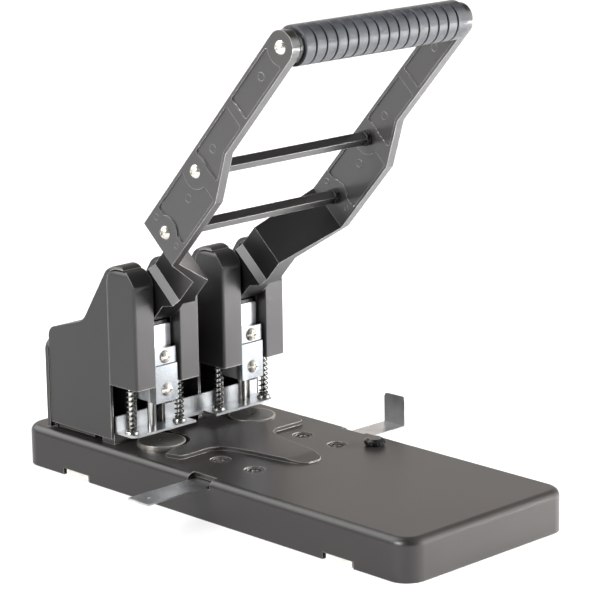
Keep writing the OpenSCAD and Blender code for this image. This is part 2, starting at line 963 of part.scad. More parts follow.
module rear_housing() {
    color(black)
    difference() {
        union() {
            tower_shell(-tower_x);
            tower_shell(tower_x);
            along_x(2 * gap_half)
                difference() {
                    low_box(0);
                    low_box(shell_t);
                }
        }
        block([-drawer_x - drawer_gap, mid_y + shell_t, base_h - cut],
            [drawer_x + drawer_gap, box_y + cut, drawer_top + drawer_gap]);
        mirrored()
            block([plate_half + seam, 0, 0], [half_w, box_y + cut, base_h + foot_gap]);
    }
}

module chip_tray() {
    color(dark)
    difference() {
        block([-drawer_x, drawer_y, base_h + drawer_lift], [drawer_x, box_y + seam, drawer_top]);
        block([drawer_t - drawer_x, drawer_y + drawer_t, base_h + drawer_lift + drawer_t],
            [drawer_x - drawer_t, box_y + seam - panel_t, drawer_top + cut]);
        tray_screw_places()
            rotate([90, 0, 0])
                cylinder(h = 2 * panel_t, d = screw_d / 2, center = true);
    }
}

module tray_screw_places() {
    for (x = [-drawer_screw_x, drawer_screw_x])
        translate([x, box_y + seam, drawer_screw_z])
            children();
}

module tray_panel() {
    color(black)
    difference() {
        union() {
            translate([0, box_y + seam + panel_t / 2, 0])
                along_y(panel_t)
                    arched([-panel_x, base_h + drawer_lift], [panel_x, panel_top], rear_r, rear_r);
            block([-pull_x, box_y + seam + panel_t, pull_z],
                [pull_x, box_y + seam + panel_t + pull_out, pull_z + pull_t]);
        }
        tray_screw_places()
            rotate([90, 0, 0])
                cylinder(h = 4 * panel_t, d = screw_d / 2, center = true);
    }
}

module tray_screws() {
    color(steel)
    tray_screw_places() {
        translate([0, panel_t, 0])
            rotate([-90, 0, 0])
                pan_head(drawer_screw_d, small_head_h);
        translate([0, panel_t / 2 - panel_t, 0])
            rotate([-90, 0, 0])
                cylinder(h = 1.5 * panel_t, d = screw_d / 2);
    }
}

// Lever, drawn in its own frame: Z runs from the pivot to the grip and Y to the arm's back edge

function cam_point(turn) =
    let (a = -90 - turn - lever_lean,
        lift = cam_r + cam_rise * turn * PI / 180)
    [lift * cos(a) + cam_rise * sin(a), lift * sin(a) - cam_rise * cos(a)];

module arm_outline() {
    polygon(concat(
        [for (i = [0 : 16]) cam_point(i * cam_step)],
        [[cam_point(lever_travel)[0], cam_nose], [-neck_front, hub_end], [-neck_front, kink_low],
            [arm_back - arm_tip_w, kink_high], [arm_back - arm_tip_w, lever_l], [arm_back, lever_l],
            [arm_back, arm_rise_out], [0, neck_in], [0, -hub_r / 2],
            [-cam_r * sin(lever_lean), -cam_r * cos(lever_lean)]]));
}

// Section of the right arm across its width: X against the distance from the pivot
module arm_section() {
    low = -2 * cam_r;
    high = lever_l + arm_tip_w;
    polygon([[tower_x - hub_w / 2, low], [tower_x - hub_w / 2, hub_end],
        [tower_x - neck_w / 2, hub_end + hub_slope], [tower_x - neck_w / 2, neck_in],
        [arm_inner, arm_rise_in], [arm_inner, high], [arm_face, high], [arm_face, arm_rise_out],
        [tower_x + neck_w / 2, neck_out], [tower_x + neck_w / 2, hub_end + hub_slope],
        [tower_x + hub_w / 2, hub_end], [tower_x + hub_w / 2, low]]);
}

// Shallow panels between the screws, with ends that curve round the screws' bosses
module arm_panels() {
    offset(r = panel_corner)
        offset(delta = -panel_corner)
            difference() {
                intersection() {
                    offset(delta = -panel_rim)
                        arm_outline();
                    for (p = panels)
                        translate([-arm_w, p[0]])
                            square([2 * arm_w, p[1] - p[0]]);
                }
                for (p = tie_places())
                    translate([-p[1], p[0]])
                        circle(panel_ring);
            }
}

module lever_arm(side) {
    reach = 4 * arm_w;
    color(black)
    scale([side, 1, 1])
    lever_frame()
    difference() {
        union() {
            intersection() {
                translate([arm_face / 2, 0, 0])
                    along_x(arm_face + cut)
                        arm_outline();
                along_y(reach)
                    arm_section();
            }
            translate([tower_x, 0, 0])
                rotate([0, 90, 0])
                    cylinder(h = hub_w, r = hub_r, center = true);
            translate([arm_inner, -grip_w, lever_l])
                rotate([0, 90, 0])
                    cylinder(h = arm_t, d = arm_tip_w);
        }
        for (x = [arm_face, arm_inner])
            translate([x, 0, 0])
                along_x(2 * panel_d)
                    arm_panels();
        translate([tower_x, 0, 0])
            rotate([0, 90, 0])
                cylinder(h = 2 * hub_w, d = shaft_d + 2 * fit_gap, center = true);
        for (p = tie_places())
            translate([arm_face, -p[1], p[0]])
                rotate([0, 90, 0])
                    cylinder(h = 4 * arm_t, d = screw_d, center = true);
    }
}

function tie_places() = [[lever_l, grip_w], [tie_high_u, tie_high_w], [tie_low_u, tie_low_w]];

// Square bar along X, placed in the raised lever's own frame
module lever_bar(place, w, l) {
    lever_frame()
        translate([0, -place[1], place[0]])
            cube([l, w, w], center = true);
}

module end_bores(place) {
    difference() {
        children();
        for (side = [-1, 1])
            translate([side * arm_inner, 0, 0])
                lever_rod(place[0], place[1], screw_d, 2 * tie_reach);
    }
}

module grip_rod() {
    color(steel)
    end_bores(tie_places()[0])
        lever_rod(lever_l, grip_w, rod_d, 2 * arm_inner);
}

module tie_bar(place) {
    color(dark)
    end_bores(place)
        lever_bar(place, tie_w, 2 * arm_inner);
}

module arm_screws() {
    color(silver)
    for (side = [-1, 1], p = tie_places()) {
        translate([side * (arm_face - (arm_t + tie_reach) / 2), 0, 0])
            lever_rod(p[0], p[1], screw_d, arm_t + tie_reach);
        lever_frame()
            translate([side * arm_face, -p[1], p[0]])
                rotate([0, side * 90, 0])
                    pan_head(arm_screw_d, arm_screw_h);
    }
}

module tie_collars() {
    color(dark)
    for (side = [-1, 1], i = [1, 2])
        translate([side * (arm_inner - collar_t / 2), 0, 0])
            difference() {
                lever_rod(tie_places()[i][0], tie_places()[i][1], collar_d, collar_t);
                lever_bar(tie_places()[i], tie_w, 4 * arm_inner);
            }
}

module grip_sleeve() {
    low = grip_collar_l;
    high = 2 * arm_inner - seam;
    pitch = (high - low) / rib_count;
    r = grip_d / 2;
    ribs = [for (i = [0 : rib_count - 1])
        each let (a = low + i * pitch,
            b = low + (i + 1) * pitch - (i == rib_count - 1 ? 0 : groove_w))
        [[r - groove_d, a], [r - groove_edge, a], [r, a + groove_edge], [r, b - groove_edge],
            [r - groove_edge, b], [r - groove_d, b]]];
    color(rubber)
    lever_frame()
        translate([-arm_inner, -grip_w, lever_l])
            rotate([0, 90, 0])
                rotate_extrude()
                    polygon(concat([[rod_d / 2, low]], ribs, [[rod_d / 2, high]]));
}

module grip_collar() {
    color(dark)
    translate([-arm_inner + grip_collar_l / 2, 0, 0])
        difference() {
            lever_rod(lever_l, grip_w, grip_collar_d, grip_collar_l);
            lever_rod(lever_l, grip_w, rod_d, 2 * grip_collar_l);
        }
}

// Punches

module punch_holder(side) {
    pin_out = pin_x - tower_x;
    color(silver)
    scale([side, 1, 1])
    translate([tower_x, 0, 0])
    difference() {
        union() {
            translate([0, (holder_back - holder_fore) / 2, 0])
                along_y(holder_back + holder_fore)
                    round_rect([-holder_w / 2, holder_z], [holder_w / 2, holder_top], holder_r);
            block([-wing_half, -wing_fore, wing_z], [wing_half, wing_back, wing_z + wing_t]);
        }
        translate([pin_out, 0, holder_z - cut])
            cylinder(h = pin_seat - holder_z + cut, d = pin_d);
        translate([pin_out, 0, pin_seat - cut])
            cylinder(h = chip_top - pin_seat + cut, d = chip_d);
        translate([pin_out, 0, 0])
            block([-chip_d / 2, 0, pin_seat], [chip_d / 2, holder_back + cut, chip_top]);
        for (x = [-post_out, post_out])
            translate([x, spring_y, wing_z - cut])
                cylinder(h = wing_t + 2 * cut, d = post_d + 2 * fit_gap);
        for (z = holder_screw_z)
            translate([0, -holder_screw_in, z])
                rotate([90, 0, 0])
                    cylinder(h = clamp_fore, d = screw_d);
    }
}

module holder_clamp(side) {
    holder_plate(side, clamp_fore, holder_z, clamp_top, holder_screw_z[0]);
}

module holder_strap(side) {
    holder_plate(side, strap_fore, strap_z, strap_top, holder_screw_z[1]);
}

module holder_plate(side, fore, low, high, screw_z) {
    color(silver)
    translate([side * tower_x, 0, 0])
    difference() {
        translate([0, -(fore + holder_fore) / 2, 0])
            along_y(fore - holder_fore)
                round_rect([-holder_w / 2, low], [holder_w / 2, high], holder_r / 3);
        translate([0, 0, screw_z])
            rotate([90, 0, 0])
                cylinder(h = 2 * fore, d = screw_d);
    }
}

module holder_screws(side) {
    color(steel)
    for (i = [0, 1])
        translate([side * tower_x, 0, holder_screw_z[i]]) {
            front = i == 0 ? clamp_fore : strap_fore;
            translate([0, -front, 0])
                rotate([90, 0, 0])
                    pan_head(holder_screw_d, holder_screw_h);
            translate([0, -holder_screw_in, 0])
                rotate([90, 0, 0])
                    cylinder(h = front - holder_screw_in, d = screw_d);
        }
}

module punch_pin(side) {
    color(silver)
    translate([side * pin_x, 0, 0])
    difference() {
        translate([0, 0, pin_z])
            cylinder(h = pin_seat - pin_z, d = pin_d);
        translate([0, 0, pin_z - cut])
            cylinder(h = pin_seat, d = pin_bore);
    }
}

module follower_pad(side) {
    color(dark)
    translate([side * tower_x, 0, 0])
        block([-pad_w / 2, -pad_fore, holder_top], [pad_w / 2, pad_fore, pad_top]);
}

base_cover();
bottom_plate();
rubber_feet();
deck_screws();
bottom_screws();
bar_channel();
guide_bar();
guide_knob();
knob_cam();
anvil_blocks();
cutting_disc(-pin_x);  // left_disc
cutting_disc(pin_x);  // right_disc
stripper_plate();
plate_supports();
spring_seats();
guide_posts();
tower_frame(-tower_x);  // left_frame
tower_frame(tower_x);  // right_frame
frame_screws();
pivot_shafts();
shaft_clips();
stop_pins();
rear_housing();
translate([-tower_x, 0, 0]) front_cover(-1);  // left_outer_cover
translate([-tower_x, 0, 0]) front_cover(1);  // left_inner_cover
translate([tower_x, 0, 0]) front_cover(-1);  // right_inner_cover
translate([tower_x, 0, 0]) front_cover(1);  // right_outer_cover
chip_tray();
tray_panel();
tray_screws();
lever_arm(-1);  // left_arm
lever_arm(1);  // right_arm
grip_sleeve();
grip_rod();
grip_collar();
tie_bar(tie_places()[1]);  // upper_tie_bar
tie_bar(tie_places()[2]);  // lower_tie_bar
tie_collars();
arm_screws();
punch_holder(-1);  // left_holder
punch_holder(1);  // right_holder
holder_clamp(-1);  // left_clamp
holder_clamp(1);  // right_clamp
holder_strap(-1);  // left_strap
holder_strap(1);  // right_strap
holder_screws(-1);  // left_holder_screws
holder_screws(1);  // right_holder_screws
punch_pin(-1);  // left_pin
punch_pin(1);  // right_pin
follower_pad(-1);  // left_pad
follower_pad(1);  // right_pad
coil_spring(-tower_x - post_out);  // left_outer_spring
coil_spring(-tower_x + post_out);  // left_inner_spring
coil_spring(tower_x - post_out);  // right_inner_spring
coil_spring(tower_x + post_out);  // right_outer_spring
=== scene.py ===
"""Dresses a heavy two-hole lever punch: mouldings, cast lever, plated punches and its studio."""

import math

import bpy
from mathutils import Matrix, Vector


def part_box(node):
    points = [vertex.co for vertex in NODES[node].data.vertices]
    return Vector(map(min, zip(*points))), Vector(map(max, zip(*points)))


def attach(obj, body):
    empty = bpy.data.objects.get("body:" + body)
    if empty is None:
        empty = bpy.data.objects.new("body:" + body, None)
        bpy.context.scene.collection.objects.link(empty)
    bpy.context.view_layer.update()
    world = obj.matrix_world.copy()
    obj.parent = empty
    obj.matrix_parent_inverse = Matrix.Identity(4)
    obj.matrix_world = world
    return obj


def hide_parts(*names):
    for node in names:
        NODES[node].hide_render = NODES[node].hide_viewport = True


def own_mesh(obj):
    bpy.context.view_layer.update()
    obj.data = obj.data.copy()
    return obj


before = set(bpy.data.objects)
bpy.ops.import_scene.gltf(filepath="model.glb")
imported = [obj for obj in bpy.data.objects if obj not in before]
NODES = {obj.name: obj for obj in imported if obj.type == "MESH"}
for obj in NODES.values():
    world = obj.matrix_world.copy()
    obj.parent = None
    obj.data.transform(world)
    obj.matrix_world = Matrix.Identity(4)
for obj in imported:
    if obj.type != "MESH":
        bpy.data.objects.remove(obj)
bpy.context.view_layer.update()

bl_info = {
    "name": "Lever Punch Finish",
    "version": (1, 0, 0),
    "blender": (4, 5, 0),
    "location": "3D View > Sidebar > Punch",
    "description": "Finishes the pieces of a two-hole lever punch and sets up its studio",
    "category": "Object",
}

MM = 0.001

# The lever is raised, and leans forward from its pivot by this angle
PIVOT = Vector((0, 0.0062, 0.127))
LEAN = math.radians(42.2)

# Thickness of an arm's flat part
ARM_MM = 6.2

# A fold between two faces stays sharp from this angle on
FOLD = math.radians(32)
# The arms' shoulders are shallower folds that have to stay sharp too
ARM_FOLD = math.radians(16)
# Screw heads and turned pieces have wider steps that have to look round
SCREW_FOLD = math.radians(40)
TURNED_FOLD = math.radians(50)

# Edges between faces that meet flatter than this get no radius
ROUND_FOLD = math.radians(40)

# Corners closer than this are joined to one
WELD = 0.002 * MM


def paint(code):
    """Linear colour of an sRGB hex code."""
    parts = [int(code[i:i + 2], 16) / 255 for i in (1, 3, 5)]
    return tuple(c / 12.92 if c <= 0.04045 else ((c + 0.055) / 1.055) ** 2.4 for c in parts) + (1.0,)


def set_stops(bands, stops):
    """Sets a colour ramp's stops, each given as its place and hex code."""
    while len(bands) < len(stops):
        bands.new(0.5)
    for band, (place, code) in zip(bands, stops):
        band.position = place
        band.color = paint(code)


def add(tree, kind, settings=None, links=None):
    """Adds one node, sets its fields, sockets and colour stops, and links its inputs."""
    node = tree.nodes.new(kind)
    for key, value in (settings or {}).items():
        if key == "stops":
            set_stops(node.color_ramp.elements, value)
        elif isinstance(key, int) or key in node.inputs:
            node.inputs[key].default_value = value
        else:
            setattr(node, key, value)
    for key, source in (links or {}).items():
        tree.links.new(source, node.inputs[key])
    return node


def blank(name):
    """New node material: its tree, the place of its patterns on the object, and its output."""
    material = bpy.data.materials.new(name)
    material.use_nodes = True
    tree = material.node_tree
    tree.nodes.clear()
    place = add(tree, "ShaderNodeTexCoord").outputs["Object"]
    return material, tree, place, add(tree, "ShaderNodeOutputMaterial")


# Materials

def painted_edge_highlight(tree, colour, highlight_colour, reach_mm):
    """Paints a highlight into the colour along edges, where rounded edges catch the light."""
    rounded = add(tree, "ShaderNodeBevel", {"samples": 6, "Radius": reach_mm * MM})
    face = add(tree, "ShaderNodeNewGeometry")
    match = add(tree, "ShaderNodeVectorMath", {"operation": "DOT_PRODUCT"},
                {0: rounded.outputs["Normal"], 1: face.outputs["Normal"]})
    # The painted highlight starts where the rounded edge leans 6 degrees off the face, and is full at 26
    edge = add(tree, "ShaderNodeMapRange", {"From Min": 0.995, "From Max": 0.9},
               {"Value": match.outputs["Value"]})
    blend = add(tree, "ShaderNodeMix", {"data_type": "VECTOR", "B": paint(highlight_colour)[:3]},
                {"Factor": edge.outputs["Result"], "A": colour})
    return blend.outputs["Result"]


def spark_eroded_abs(name, shade, worn, grain_mm, rough):
    """Black ABS from a spark-eroded mould: a fine even grain turns highlights to a soft grey sheen."""
    material, tree, place, out = blank(name)
    grain = add(tree, "ShaderNodeTexNoise", {"Scale": 1 / (grain_mm * MM), "Detail": 3.0}, {"Vector": place})
    cloud = add(tree, "ShaderNodeTexNoise", {"Scale": 1 / (60 * MM), "Detail": 2.0}, {"Vector": place})
    colour = add(tree, "ShaderNodeValToRGB", {"stops": [(0.3, shade), (0.75, worn)]},
                 {"Fac": cloud.outputs["Fac"]})
    # Painted highlight: the edges are lightened to a grey, as if they caught the light
    edge_lit = painted_edge_highlight(tree, colour.outputs["Color"], "#75726e", 0.7)
    gloss = add(tree, "ShaderNodeMapRange", {"To Min": rough - 0.06, "To Max": rough + 0.08},
                {"Value": grain.outputs["Fac"]})
    bump = add(tree, "ShaderNodeBump", {"Strength": 0.35, "Distance": 0.06 * MM},
               {"Height": grain.outputs["Fac"]})
    shader = add(tree, "ShaderNodeBsdfPrincipled", {"IOR": 1.54},
                 {"Base Color": edge_lit, "Roughness": gloss.outputs["Result"],
                  "Normal": bump.outputs["Normal"]})
    tree.links.new(shader.outputs["BSDF"], out.inputs["Surface"])
    return material


def painted_hub_shade(tree, place):
    """Painted shade for the hubs, which lie in shade in the towers' slot: rises from almost 0 there to 1 on
    the arms, and also thins the coat at the hubs.
    """
    arm = add(tree, "ShaderNodeVectorMath", {"operation": "SUBTRACT", 1: PIVOT}, {0: place})
    side = add(tree, "ShaderNodeVectorMath", {"operation": "MULTIPLY", 1: (0, 1, 1)},
               {0: arm.outputs["Vector"]})
    reach = add(tree, "ShaderNodeVectorMath", {"operation": "LENGTH"}, {0: side.outputs["Vector"]})
    out_of_hub_shade = add(tree, "ShaderNodeMapRange",
                {"From Min": 38 * MM, "From Max": 70 * MM, "To Min": 0.04, "To Max": 1.0},
                {"Value": reach.outputs["Value"]})
    return out_of_hub_shade.outputs["Result"]


def satin_powder_coat(name, shade, worn):
    """Satin black powder coat on castings and steel: a shallow orange peel breaks up the sheen."""
    material, tree, place, out = blank(name)
    # Peel cells are about 1 mm across, drawn at 1.4 mm so that they show
    peel = add(tree, "ShaderNodeTexNoise", {"Scale": 1 / (1.4 * MM), "Detail": 2.0}, {"Vector": place})
    cloud = add(tree, "ShaderNodeTexNoise", {"Scale": 1 / (45 * MM), "Detail": 3.0}, {"Vector": place})
    colour = add(tree, "ShaderNodeValToRGB", {"stops": [(0.3, shade), (0.7, worn)]},
                 {"Fac": cloud.outputs["Fac"]})
    out_of_hub_shade = painted_hub_shade(tree, place)
    # Painted shade: the colour darkens towards the hubs, where the slot and the arms shade them
    hub_shaded = add(tree, "ShaderNodeVectorMath", {"operation": "SCALE"},
                  {0: colour.outputs["Color"], "Scale": out_of_hub_shade})
    # Painted highlight: the edges are lightened to a grey, as if they caught the light
    edge_lit = painted_edge_highlight(tree, hub_shaded.outputs["Vector"], "#7e7b78", 0.45)
    # The same share thins the coat at the hubs
    coat = add(tree, "ShaderNodeMath", {"operation": "MULTIPLY", 1: 0.6}, {0: out_of_hub_shade})
    gloss = add(tree, "ShaderNodeMapRange", {"To Min": 0.36, "To Max": 0.46}, {"Value": cloud.outputs["Fac"]})
    bump = add(tree, "ShaderNodeBump", {"Strength": 0.18, "Distance": 0.08 * MM},
               {"Height": peel.outputs["Fac"]})
    shader = add(tree, "ShaderNodeBsdfPrincipled", {"IOR": 1.5, "Coat Roughness": 0.2, "Coat IOR": 1.9},
                 {"Base Color": edge_lit, "Roughness": gloss.outputs["Result"],
                  "Coat Weight": coat.outputs["Value"], "Normal": bump.outputs["Normal"]})
    tree.links.new(shader.outputs["BSDF"], out.inputs["Surface"])
    return material


def plated_steel(name, shade, dull, rough, grain_mm, stretch=(1, 1, 1), metal=1.0):
    """Nickel or zinc plated steel: the grain of rolled or ground steel shows through the thin plate."""
    material, tree, place, out = blank(name)
    drawn = add(tree, "ShaderNodeMapping", {"Scale": stretch}, {"Vector": place})
    grain = add(tree, "ShaderNodeTexNoise", {"Scale": 1 / (grain_mm * MM), "Detail": 4.0},
                {"Vector": drawn.outputs["Vector"]})
    cloud = add(tree, "ShaderNodeTexNoise", {"Scale": 1 / (14 * MM), "Detail": 2.0}, {"Vector": place})
    colour = add(tree, "ShaderNodeValToRGB", {"stops": [(0.35, dull), (0.65, shade)]},
                 {"Fac": cloud.outputs["Fac"]})
    gloss = add(tree, "ShaderNodeMapRange", {"To Min": rough - 0.07, "To Max": rough + 0.1},
                {"Value": grain.outputs["Fac"]})
    bump = add(tree, "ShaderNodeBump", {"Strength": 0.2, "Distance": 0.02 * MM},
               {"Height": grain.outputs["Fac"]})
    shader = add(tree, "ShaderNodeBsdfPrincipled", {"Metallic": metal},
                 {"Base Color": colour.outputs["Color"], "Roughness": gloss.outputs["Result"],
                  "Normal": bump.outputs["Normal"]})
    tree.links.new(shader.outputs["BSDF"], out.inputs["Surface"])
    return material


def turned_black_steel(name, shade, bright, centre, radius):
    """Blackened steel turned on a lathe: its rings catch the light as a fan, and its rim has a painted
    highlight.
    """
    material, tree, place, out = blank(name)
    split = add(tree, "ShaderNodeSeparateXYZ", links={"Vector": place})
    # Both discs share the material, so X is folded to bring them onto one centre
    side = add(tree, "ShaderNodeMath", {"operation": "ABSOLUTE"}, {0: split.outputs["X"]})
    across = add(tree, "ShaderNodeMath", {"operation": "SUBTRACT", 1: centre.x}, {0: side.outputs["Value"]})
    along = add(tree, "ShaderNodeMath", {"operation": "SUBTRACT", 1: centre.y}, {0: split.outputs["Y"]})
    spot = add(tree, "ShaderNodeCombineXYZ",
               links={"X": across.outputs["Value"], "Y": along.outputs["Value"]})
    # A lathe's rings are far finer, and are drawn 2 mm apart so that they show
    rings = add(tree, "ShaderNodeTexWave",
                {"wave_type": "RINGS", "rings_direction": "Z", "Scale": 0.16 / MM, "Distortion": 0.6,
                 "Detail": 2.0, "Detail Scale": 1.0}, {"Vector": spot.outputs["Vector"]})
    stain = add(tree, "ShaderNodeTexNoise", {"Scale": 1 / (6 * MM), "Detail": 3.0}, {"Vector": place})
    reach = add(tree, "ShaderNodeVectorMath", {"operation": "LENGTH"}, {0: spot.outputs["Vector"]})
    share = add(tree, "ShaderNodeMath", {"operation": "DIVIDE", 1: radius}, {0: reach.outputs["Value"]})
    # From the lathe's dark centre hole out to a painted highlight on the rim
    colour = add(tree, "ShaderNodeValToRGB",
                 {"stops": [(0.05, "#080808"), (0.08, shade), (0.91, shade), (0.94, bright)]},
                 {"Fac": share.outputs["Value"]})
    gloss = add(tree, "ShaderNodeMapRange", {"To Min": 0.26, "To Max": 0.42}, {"Value": stain.outputs["Fac"]})
    bump = add(tree, "ShaderNodeBump", {"Strength": 0.35, "Distance": 0.05 * MM},
               {"Height": rings.outputs["Fac"]})
    shader = add(tree, "ShaderNodeBsdfPrincipled", {"Metallic": 0.85},
                 {"Base Color": colour.outputs["Color"], "Roughness": gloss.outputs["Result"],
                  "Normal": bump.outputs["Normal"]})
    tree.links.new(shader.outputs["BSDF"], out.inputs["Surface"])
    return material


def moulded_rubber(name, shade, bloom, rough):
    """Moulded rubber: a faint paler bloom lies in soft patches, and the skin has a leathery pore."""
    material, tree, place, out = blank(name)
    pore = add(tree, "ShaderNodeTexVoronoi", {"Scale": 1 / (0.9 * MM)}, {"Vector": place})
    cloud = add(tree, "ShaderNodeTexNoise", {"Scale": 1 / (9 * MM), "Detail": 3.0}, {"Vector": place})
    colour = add(tree, "ShaderNodeValToRGB", {"stops": [(0.35, shade), (0.75, bloom)]},
                 {"Fac": cloud.outputs["Fac"]})
    bump = add(tree, "ShaderNodeBump", {"Strength": 0.25, "Distance": 0.06 * MM},
               {"Height": pore.outputs["Distance"]})
    shader = add(tree, "ShaderNodeBsdfPrincipled", {"Roughness": rough, "IOR": 1.52},
                 {"Base Color": colour.outputs["Color"], "Normal": bump.outputs["Normal"]})
    tree.links.new(shader.outputs["BSDF"], out.inputs["Surface"])
    return material


def polished_nylon(name, shade, worn):
    """Black nylon from a polished mould: small clear highlights on a deep black."""
    material, tree, place, out = blank(name)
    cloud = add(tree, "ShaderNodeTexNoise", {"Scale": 1 / (3 * MM), "Detail": 3.0}, {"Vector": place})
    colour = add(tree, "ShaderNodeValToRGB", {"stops": [(0.4, shade), (0.8, worn)]},
                 {"Fac": cloud.outputs["Fac"]})
    gloss = add(tree, "ShaderNodeMapRange", {"To Min": 0.2, "To Max": 0.36}, {"Value": cloud.outputs["Fac"]})
    shader = add(tree, "ShaderNodeBsdfPrincipled", {"IOR": 1.53},
                 {"Base Color": colour.outputs["Color"], "Roughness": gloss.outputs["Result"]})
    tree.links.new(shader.outputs["BSDF"], out.inputs["Surface"])
    return material


def studio_floor(name, shade):
    """Matt white sweep: it shows as white to the eye and in metal, and keeps the punch's shadow."""
    material, tree, place, out = blank(name)
    dust = add(tree, "ShaderNodeTexNoise", {"Scale": 1 / (250 * MM), "Detail": 2.0}, {"Vector": place})
    colour = add(tree, "ShaderNodeValToRGB", {"stops": [(0.0, shade), (1.0, "#ffffff")]},
                 {"Fac": dust.outputs["Fac"]})
    cloth = add(tree, "ShaderNodeBsdfDiffuse", links={"Color": colour.outputs["Color"]})
    glow = add(tree, "ShaderNodeEmission", {"Strength": 1.0})
    path = add(tree, "ShaderNodeLightPath")
    eye = add(tree, "ShaderNodeMath", {"operation": "MAXIMUM"},
              {0: path.outputs["Is Camera Ray"], 1: path.outputs["Is Transmission Ray"]})
    seen = add(tree, "ShaderNodeMath", {"operation": "MAXIMUM"},
               {0: eye.outputs["Value"], 1: path.outputs["Is Glossy Ray"]})
    # So much of what is seen is plain white, and the rest is the lit floor with its shadow
    share = add(tree, "ShaderNodeMath", {"operation": "MULTIPLY", 1: 0.62}, {0: seen.outputs["Value"]})
    blend = add(tree, "ShaderNodeMixShader",
                links={"Fac": share.outputs["Value"], 1: cloth.outputs["BSDF"], 2: glow.outputs["Emission"]})
    tree.links.new(blend.outputs["Shader"], out.inputs["Surface"])
    return material


# Mesh helpers

def mesh_piece(name, verts, faces, material, body):
    """New smooth mesh object that rides on a CAD body and has a finish slot."""
    mesh = bpy.data.meshes.new(name)
    mesh.from_pydata([tuple(v) for v in verts], [], faces)
    mesh.validate()
    mesh.polygons.foreach_set("use_smooth", [True] * len(mesh.polygons))
    piece = bpy.data.objects.new(name, mesh)
    bpy.context.scene.collection.objects.link(piece)
    mesh.materials.append(material)
    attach(piece, body)
    return piece


def soft_shade_group():
    """Geometry group that shades a mesh smooth and keeps the folds sharper than its Fold input."""
    name = "Keep Folds Sharp"
    if name in bpy.data.node_groups:
        return bpy.data.node_groups[name]
    group = bpy.data.node_groups.new(name, "GeometryNodeTree")
    group.interface.new_socket("Geometry", in_out="INPUT", socket_type="NodeSocketGeometry")
    limit = group.interface.new_socket("Fold", in_out="INPUT", socket_type="NodeSocketFloat")
    limit.default_value = FOLD
    group.interface.new_socket("Geometry", in_out="OUTPUT", socket_type="NodeSocketGeometry")
    entry = add(group, "NodeGroupInput")
    fold = add(group, "GeometryNodeInputMeshEdgeAngle")
    sharp = add(group, "FunctionNodeCompare", {"operation": "GREATER_THAN"},
                {0: fold.outputs["Unsigned Angle"], 1: entry.outputs["Fold"]})
    weld = add(group, "GeometryNodeMergeByDistance", {"Distance": WELD}, {"Geometry": entry.outputs[0]})
    smooth = add(group, "GeometryNodeSetShadeSmooth", links={"Geometry": weld.outputs["Geometry"]})
    crisp = add(group, "GeometryNodeSetShadeSmooth", {"domain": "EDGE", "Shade Smooth": False},
                {"Geometry": smooth.outputs["Geometry"], "Selection": sharp.outputs["Result"]})
    add(group, "NodeGroupOutput", links={0: crisp.outputs["Geometry"]})
    return group


def dress(names, material, round_mm=0.0, fold=FOLD):
    """Gives CAD nodes a material, smooth curved faces and, where asked, a small edge radius."""
    group = soft_shade_group()
    fold_input = group.interface.items_tree["Fold"].identifier
    for name in names:
        node = NODES[name]
        mesh = node.data
        mesh.materials.clear()
        mesh.materials.append(material)
        if "custom_normal" in mesh.attributes:
            mesh.attributes.remove(mesh.attributes["custom_normal"])
        weld = node.modifiers.new("Joined faces", "WELD")
        weld.merge_threshold = WELD
        if round_mm:
            bevel = node.modifiers.new("Edge radius", "BEVEL")
            bevel.width = round_mm * MM
            bevel.segments = 2
            bevel.limit_method = "ANGLE"
            bevel.angle_limit = ROUND_FOLD
            bevel.use_clamp_overlap = True
        shade = node.modifiers.new("Folds", "NODES")
        shade.node_group = group
        shade[fold_input] = fold
        if round_mm:
            flat = node.modifiers.new("Flat faces lead", "WEIGHTED_NORMAL")
            flat.weight = 100
            flat.keep_sharp = True


def lever_point(x, u, w):
    """Point in the raised lever's own frame: u up the arm, w towards its front edge, all in mm."""
    back = Vector((0, -math.sin(LEAN), math.cos(LEAN)))
    front = Vector((0, -math.cos(LEAN), -math.sin(LEAN)))
    return PIVOT + Vector((x * MM, 0, 0)) + back * (u * MM) + front * (w * MM)


def ring_lip(spots, radius, lip, height):
    """Low rounded rings on flat faces. A spot is a centre, two directions in the face and its normal."""
    sides = 24
    verts, faces = [], []
    # Section of the lip: place across it from -1 to 1, and share of its height
    section = [(-1, 0), (-0.55, 0.85), (0.55, 0.85), (1, 0)]
    for centre, right, up, out in spots:
        start = len(verts)
        for i in range(sides):
            a = 2 * math.pi * i / sides
            spoke = right * math.cos(a) + up * math.sin(a)
            for across, rise in section:
                verts.append(centre + spoke * (radius + across * lip / 2) * MM + out * (rise * height) * MM)
        for i in range(sides):
            for k in range(len(section) - 1):
                a = start + i * len(section) + k
                b = start + ((i + 1) % sides) * len(section) + k
                faces.append((a, b, b + 1, a + 1))
    return verts, faces


